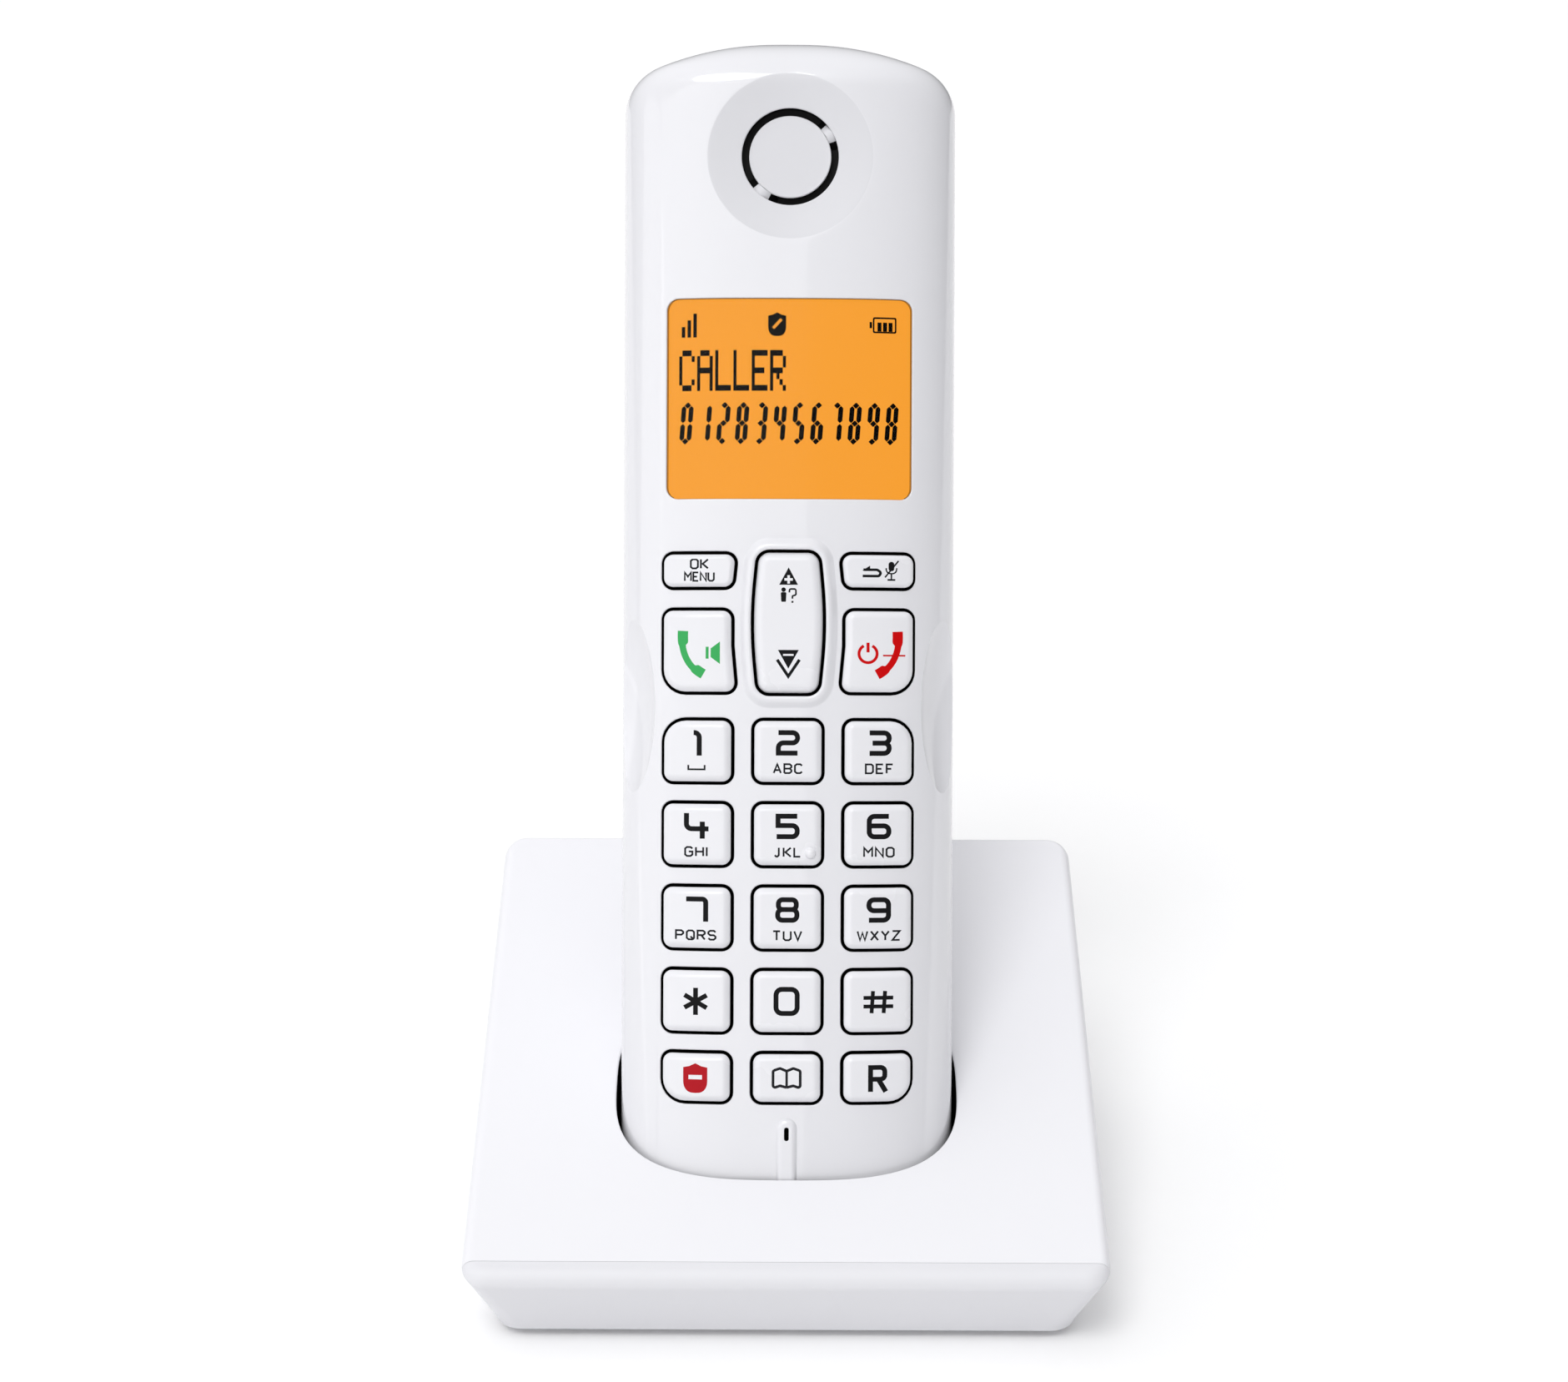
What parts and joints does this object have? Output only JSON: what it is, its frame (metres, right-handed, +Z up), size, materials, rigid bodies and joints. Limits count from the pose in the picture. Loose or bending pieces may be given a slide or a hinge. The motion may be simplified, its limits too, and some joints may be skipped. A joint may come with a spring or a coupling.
{
  "type": "cordless phone with base",
  "caption": "Slim cordless phone handset with keypad, navigation rocker and lit display, leaning back in a wedge-shaped charging base.",
  "frame": {"origin": "on the plane the feet stand on, under the middle of the bounding box", "axes": "+Z up, the phone faces -Y, +X to the right as seen from the front"},
  "size_m": [0.091, 0.0958, 0.1708],
  "materials": {
    "handset_front": "satin white ABS",
    "handset_rear": "fine-textured white ABS",
    "base_cover": "satin white ABS",
    "base_lower": "satin white ABS",
    "key_cap": "satin white with printed legends",
    "key_mat": "moulded silicone",
    "display_lens": "clear moulded window",
    "display_backlight": "amber backlit display",
    "felt": "black acoustic felt",
    "black_plastic": "black moulded plastic",
    "circuit_board": "green solder mask",
    "rubber_foot": "soft grey rubber",
    "page_button": "grey moulded plastic",
    "battery_sleeve": "shrunk plastic sleeve",
    "screw_steel": "zinc-plated steel",
    "contact_nickel": "nickel-plated spring steel"
  },
  "bodies": {
    "base": {"base_board": "circuit_board", "base_screw_left": "screw_steel", "base_screw_right": "screw_steel", "bottom_housing": "base_lower", "foot_front_left": "rubber_foot", "foot_front_right": "rubber_foot", "foot_rear_left": "rubber_foot", "foot_rear_right": "rubber_foot", "line_jack": "black_plastic", "power_jack": "black_plastic", "top_cover": "base_cover"},
    "handset": {"battery_jumper": "contact_nickel", "battery_left": "battery_sleeve", "battery_right": "battery_sleeve", "battery_terminal_negative": "contact_nickel", "battery_terminal_positive": "contact_nickel", "charge_plate_left": "contact_nickel", "charge_plate_right": "contact_nickel", "display_lens": "display_lens", "earpiece_felt": "felt", "earpiece_speaker": "black_plastic", "front_shell": "handset_front", "handset_screw_left": "screw_steel", "handset_screw_right": "screw_steel", "key_mat": "key_mat", "lcd_module": "display_backlight", "main_board": "circuit_board", "microphone": "contact_nickel", "rear_shell": "handset_rear", "ringer_speaker": "black_plastic"},
    "key_0": {"key_0": "key_cap"},
    "key_1": {"key_1": "key_cap"},
    "key_2": {"key_2": "key_cap"},
    "key_3": {"key_3": "key_cap"},
    "key_4": {"key_4": "key_cap"},
    "key_5": {"key_5": "key_cap"},
    "key_6": {"key_6": "key_cap"},
    "key_7": {"key_7": "key_cap"},
    "key_8": {"key_8": "key_cap"},
    "key_9": {"key_9": "key_cap"},
    "key_back_mute": {"key_back_mute": "key_cap"},
    "key_block": {"key_block": "key_cap"},
    "key_end": {"key_end": "key_cap"},
    "key_hash": {"key_hash": "key_cap"},
    "key_ok_menu": {"key_ok_menu": "key_cap"},
    "key_phonebook": {"key_phonebook": "key_cap"},
    "key_recall": {"key_recall": "key_cap"},
    "key_star": {"key_star": "key_cap"},
    "key_talk": {"key_talk": "key_cap"},
    "key_navigation": {"key_navigation": "key_cap"},
    "battery_door": {"battery_door": "handset_rear"},
    "page_button": {"page_button": "page_button"},
    "charge_contact_left": {"charge_contact_left": "contact_nickel"},
    "charge_contact_right": {"charge_contact_right": "contact_nickel"}
  },
  "joints": [
    {"name": "handset_lift", "type": "slide", "parent": "base", "child": "handset", "axis": [0, 0.342, 0.9397], "range_m": [0, 0.08]},
    {"name": "battery_door_swing", "type": "hinge", "parent": "handset", "child": "battery_door", "pos_m": [0, 0.00374, 0.0371], "axis": [-1, 0, 0], "range_deg": [0, 50]},
    {"name": "navigation_rock", "type": "hinge", "parent": "handset", "child": "key_navigation", "pos_m": [0, 0.0004, 0.09227], "axis": [1, 0, 0], "range_deg": [-3, 3], "stiffness_Nm_per_rad": 0.25},
    {"name": "press_0", "type": "slide", "parent": "handset", "child": "key_0", "axis": [0, 0.9397, -0.342], "range_m": [0, 0.0008], "stiffness_N_per_m": 1200, "springref_m": -0.0002},
    {"name": "press_1", "type": "slide", "parent": "handset", "child": "key_1", "axis": [0, 0.9397, -0.342], "range_m": [0, 0.0008], "stiffness_N_per_m": 1200, "springref_m": -0.0002},
    {"name": "press_2", "type": "slide", "parent": "handset", "child": "key_2", "axis": [0, 0.9397, -0.342], "range_m": [0, 0.0008], "stiffness_N_per_m": 1200, "springref_m": -0.0002},
    {"name": "press_3", "type": "slide", "parent": "handset", "child": "key_3", "axis": [0, 0.9397, -0.342], "range_m": [0, 0.0008], "stiffness_N_per_m": 1200, "springref_m": -0.0002},
    {"name": "press_4", "type": "slide", "parent": "handset", "child": "key_4", "axis": [0, 0.9397, -0.342], "range_m": [0, 0.0008], "stiffness_N_per_m": 1200, "springref_m": -0.0002},
    {"name": "press_5", "type": "slide", "parent": "handset", "child": "key_5", "axis": [0, 0.9397, -0.342], "range_m": [0, 0.0008], "stiffness_N_per_m": 1200, "springref_m": -0.0002},
    {"name": "press_6", "type": "slide", "parent": "handset", "child": "key_6", "axis": [0, 0.9397, -0.342], "range_m": [0, 0.0008], "stiffness_N_per_m": 1200, "springref_m": -0.0002},
    {"name": "press_7", "type": "slide", "parent": "handset", "child": "key_7", "axis": [0, 0.9397, -0.342], "range_m": [0, 0.0008], "stiffness_N_per_m": 1200, "springref_m": -0.0002},
    {"name": "press_8", "type": "slide", "parent": "handset", "child": "key_8", "axis": [0, 0.9397, -0.342], "range_m": [0, 0.0008], "stiffness_N_per_m": 1200, "springref_m": -0.0002},
    {"name": "press_9", "type": "slide", "parent": "handset", "child": "key_9", "axis": [0, 0.9397, -0.342], "range_m": [0, 0.0008], "stiffness_N_per_m": 1200, "springref_m": -0.0002},
    {"name": "press_back_mute", "type": "slide", "parent": "handset", "child": "key_back_mute", "axis": [0, 0.9397, -0.342], "range_m": [0, 0.0008], "stiffness_N_per_m": 1200, "springref_m": -0.0002},
    {"name": "press_block", "type": "slide", "parent": "handset", "child": "key_block", "axis": [0, 0.9397, -0.342], "range_m": [0, 0.0008], "stiffness_N_per_m": 1200, "springref_m": -0.0002},
    {"name": "press_end", "type": "slide", "parent": "handset", "child": "key_end", "axis": [0, 0.9397, -0.342], "range_m": [0, 0.0008], "stiffness_N_per_m": 1200, "springref_m": -0.0002},
    {"name": "press_hash", "type": "slide", "parent": "handset", "child": "key_hash", "axis": [0, 0.9397, -0.342], "range_m": [0, 0.0008], "stiffness_N_per_m": 1200, "springref_m": -0.0002},
    {"name": "press_ok_menu", "type": "slide", "parent": "handset", "child": "key_ok_menu", "axis": [0, 0.9397, -0.342], "range_m": [0, 0.0008], "stiffness_N_per_m": 1200, "springref_m": -0.0002},
    {"name": "press_phonebook", "type": "slide", "parent": "handset", "child": "key_phonebook", "axis": [0, 0.9397, -0.342], "range_m": [0, 0.0008], "stiffness_N_per_m": 1200, "springref_m": -0.0002},
    {"name": "press_recall", "type": "slide", "parent": "handset", "child": "key_recall", "axis": [0, 0.9397, -0.342], "range_m": [0, 0.0008], "stiffness_N_per_m": 1200, "springref_m": -0.0002},
    {"name": "press_star", "type": "slide", "parent": "handset", "child": "key_star", "axis": [0, 0.9397, -0.342], "range_m": [0, 0.0008], "stiffness_N_per_m": 1200, "springref_m": -0.0002},
    {"name": "press_talk", "type": "slide", "parent": "handset", "child": "key_talk", "axis": [0, 0.9397, -0.342], "range_m": [0, 0.0008], "stiffness_N_per_m": 1200, "springref_m": -0.0002},
    {"name": "page_press", "type": "slide", "parent": "base", "child": "page_button", "axis": [0, -1, 0], "range_m": [0, 0.001], "stiffness_N_per_m": 1200, "springref_m": -0.0002},
    {"name": "contact_left_dip", "type": "slide", "parent": "base", "child": "charge_contact_left", "axis": [0, -0.342, -0.9397], "range_m": [0, 0.001], "stiffness_N_per_m": 800, "springref_m": -0.0003},
    {"name": "contact_right_dip", "type": "slide", "parent": "base", "child": "charge_contact_right", "axis": [0, -0.342, -0.9397], "range_m": [0, 0.001], "stiffness_N_per_m": 800, "springref_m": -0.0003}
  ]
}
